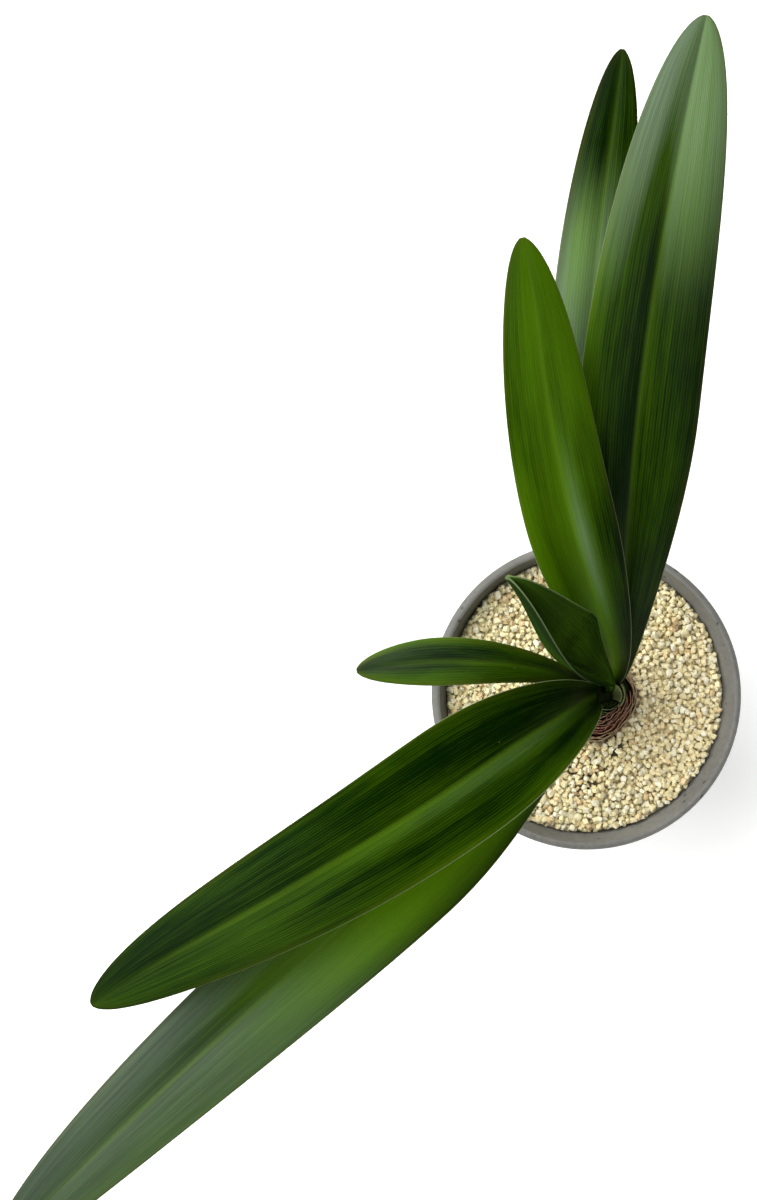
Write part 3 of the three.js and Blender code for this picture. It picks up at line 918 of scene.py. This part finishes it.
gravelForm = {
    "soilTop": 115.3, "bedTop": 120, "bedSides": 96, "wallGaps": (0.4, 0.5),  # at the bed's top and foot
    "floor": 119.3, "seat": 0.5,  # a grain on the bed sits this share of its radius above that floor
    "reach": 67.4, "spread": 0.46,  # below 0.5 the grains crowd a little towards the wall
    "neckX": bulbForm["x"], "neckY": bulbForm["y"], "neckHole": 20.7,
    "grainRadius": (0.7, 2.0), "count": 3900, "tries": 6, "seed": 7,
    "nesting": 0.76,  # how close two grains come, as a share of their radii
    "clearance": 0.6,  # how much of its radius a grain keeps from the wall and from the cracks
    "shapes": 16, "blank": 1.5, "rounding": 0.5, "chipping": 0.34, "squash": (1.0, 0.82, 0.66),
    "oversize": 1.15,
    "tintShare": 0.7, "mottleShare": 0.4,
    "cracks": [(19.5, -20, 13, -32), (-9, -38, 3, -40), (3, -40, 12, -35), (-5, -45, 8, -43)],
    "darkSpots": [(16, -26, 8), (1, -40, 13)],  # x, y and reach of the darker bed under the cracks
    "gritTones": [(0.5, 0.42, 0.24, 1), (0.85, 0.76, 0.5, 1)], "crackTone": (0.1, 0.08, 0.055, 1),
}

gravelKinds = {
    # light and dark tone, share of the grains
    "gravel_cream": ((0.88, 0.8, 0.52, 1), (0.82, 0.71, 0.42, 1), 0.62),
    "gravel_white": ((0.88, 0.84, 0.66, 1), (0.84, 0.78, 0.56, 1), 0.28),
    "gravel_tan": ((0.84, 0.66, 0.38, 1), (0.66, 0.5, 0.28, 1), 0.1),
}


def makeGrainShapes(form):
    # a few broken stones, each a cube that is rounded, chipped and squashed
    shapes = []
    for index in range(form["shapes"]):
        bpy.ops.object.select_all(action="DESELECT")
        bpy.ops.mesh.primitive_cube_add(size=form["blank"])
        grain = bpy.context.object
        bpy.ops.object.mode_set(mode="EDIT")
        bpy.ops.mesh.select_all(action="SELECT")
        bpy.ops.mesh.subdivide(number_cuts=1)
        bpy.ops.transform.tosphere(value=form["rounding"])
        bpy.ops.transform.vertex_random(offset=form["chipping"], seed=index + 1, normal=0.3)
        bpy.ops.transform.resize(value=form["squash"])
        bpy.ops.object.mode_set(mode="OBJECT")
        points = np.array([vertex.co for vertex in grain.data.vertices])
        faces = [tuple(face.vertices) for face in grain.data.polygons]
        shapes.append((points, faces))
        bpy.data.objects.remove(grain)
    return shapes


def crackDistance(form, x, y):
    # how far a point is from the nearest crack between the grains
    gaps = []
    for startX, startY, endX, endY in form["cracks"]:
        alongX, alongY = endX - startX, endY - startY
        share = ((x - startX) * alongX + (y - startY) * alongY) / (alongX ** 2 + alongY ** 2)
        share = min(max(share, 0), 1)
        gaps.append(math.hypot(x - startX - share * alongX, y - startY - share * alongY))
    return min(gaps)


def restHeight(form, cells, cell, x, y, radius):
    # where a grain comes to rest on the ones round it
    height = form["floor"] + form["seat"] * radius
    column, row = int(x // cell), int(y // cell)
    for key in ((column + i, row + j) for i in (-1, 0, 1) for j in (-1, 0, 1)):
        for otherX, otherY, otherHeight, otherRadius in cells.get(key, ()):
            gap = form["nesting"] * (radius + otherRadius)
            apart = math.hypot(x - otherX, y - otherY)
            if apart < gap:
                height = max(height, otherHeight + math.sqrt(gap * gap - apart * apart))
    return height


def dropGrains(form):
    # grains fall one by one, each into the lowest of a few tries
    random.seed(form["seed"])
    cell = 2.2 * form["grainRadius"][1]  # grains that touch lie in the same cell or in the next one
    cells = {}
    grains = []
    while len(grains) < form["count"]:
        radius = random.triangular(*form["grainRadius"])
        clearance = form["clearance"] * radius
        best = None
        for attempt in range(form["tries"]):
            distance = (form["reach"] - clearance) * random.random() ** form["spread"]
            angle = random.uniform(0, 2 * math.pi)
            x, y = distance * math.cos(angle), distance * math.sin(angle)
            neckX, neckY = x - form["neckX"], y - form["neckY"]
            if math.hypot(neckX, neckY) < form["neckHole"] + radius - dent(math.atan2(neckY, neckX)):
                continue
            if crackDistance(form, x, y) < clearance:
                continue
            height = restHeight(form, cells, cell, x, y, radius)
            if best is None or height < best[2]:
                best = (x, y, height, radius)
        if best:
            grains.append(best)
            cells.setdefault((int(best[0] // cell), int(best[1] // cell)), []).append(best)
    return grains


def makeGrainMaterial(form, name, light, dark):
    material, tree, shader = startMaterial(name + "_stone", Roughness=0.7, Specular_IOR_Level=0.2)
    tint = splitVector(tree, readAttribute(tree, "tint"))["X"]
    mottle = noise(tree, objectPlace(tree), scale=500)
    share = calc(tree, "ADD", calc(tree, "MULTIPLY", tint, form["tintShare"]),
                 remap(tree, mottle, *softSpan, 0, form["mottleShare"]))
    tree.links.new(mixColour(tree, share, light, dark), shader.inputs["Base Color"])
    addBump(tree, shader, mottle, strength=0.3, distance=0.2 * mm)
    return material


def joinGrains(form, name, chosen, shapes, material):
    points, faces, tints = [], [], []
    start = 0
    for x, y, height, radius in chosen:
        shapePoints, shapeFaces = random.choice(shapes)
        turn = Euler([random.uniform(0, 2 * math.pi) for axis in range(3)]).to_matrix()
        placed = shapePoints @ np.array(turn).T * radius * form["oversize"] + (x, y, height)
        points.append(placed * mm)
        faces += [tuple(start + corner for corner in face) for face in shapeFaces]
        tints += [random.random()] * len(shapePoints)
        start += len(shapePoints)
    mesh = bpy.data.meshes.new(name)
    mesh.from_pydata(np.vstack(points), [], faces)
    tints = np.array(tints)
    addAttribute(mesh, "tint", [tints, tints, tints])
    mesh.materials.append(material)
    piece = bpy.data.objects.new(name, mesh)
    bpy.context.scene.collection.objects.link(piece)
    return piece


def makeGritMaterial(form):
    material, tree, shader = startMaterial("packedGrit", Roughness=0.9)
    place = objectPlace(tree)
    grit = noise(tree, place, scale=700, detail=4, rough=0.7)
    colour = mixColour(tree, remap(tree, grit, *crispSpan), *form["gritTones"])
    for x, y, reach in form["darkSpots"]:
        gap = distanceTo(tree, place, (x, y, form["bedTop"]))
        dark = remap(tree, gap, reach * 0.7 * mm, reach * mm, 1.0, 0.0)
        colour = mixColour(tree, dark, colour, form["crackTone"])
    tree.links.new(colour, shader.inputs["Base Color"])
    addBump(tree, shader, grit, strength=1.0, distance=1 * mm)
    return material


def makeBed(form):
    # a plain ring of packed grit that fills in under the grains
    foot, top, hole = form["soilTop"], form["bedTop"], form["neckHole"]
    topGap, footGap = form["wallGaps"]
    outline = [(hole, foot), (hole, top), (innerRadius(top) - topGap, top),
               (innerRadius(foot) - footGap, foot), (hole, foot)]
    piece = turnOutline(outline, form["bedSides"])
    piece.data.materials.append(makeGritMaterial(form))
    finishPiece(piece, "gravel_bed", "gravel", "gravel")
    print("gravel bed", len(piece.data.polygons), "faces")


def makeGravel(form):
    makeBed(form)
    shapes = makeGrainShapes(form)
    grains = dropGrains(form)
    draws = [random.random() for grain in grains]
    share = 0
    for name, (light, dark, part) in gravelKinds.items():
        chosen = [grain for grain, draw in zip(grains, draws) if share <= draw < share + part]
        share += part
        piece = joinGrains(form, name, chosen, shapes, makeGrainMaterial(form, name, light, dark))
        finishPiece(piece, name, "gravel", "gravel")
        keepSharpEdges(piece)
        print(name, len(chosen), "grains, highest", round(max(grain[2] for grain in chosen), 1))


# Everything is made in this order

addCamera(cameraView)
buildStage(stageLook)
for leafName, leafValues in leaves.items():
    makeLeaf(leafName, leafValues)
makePot(potForm)
makeBulb(bulbForm)
makeTunic(scaleForm)
makeSheaths(scaleForm)
coverSoil(soilLook)
makeGravel(gravelForm)
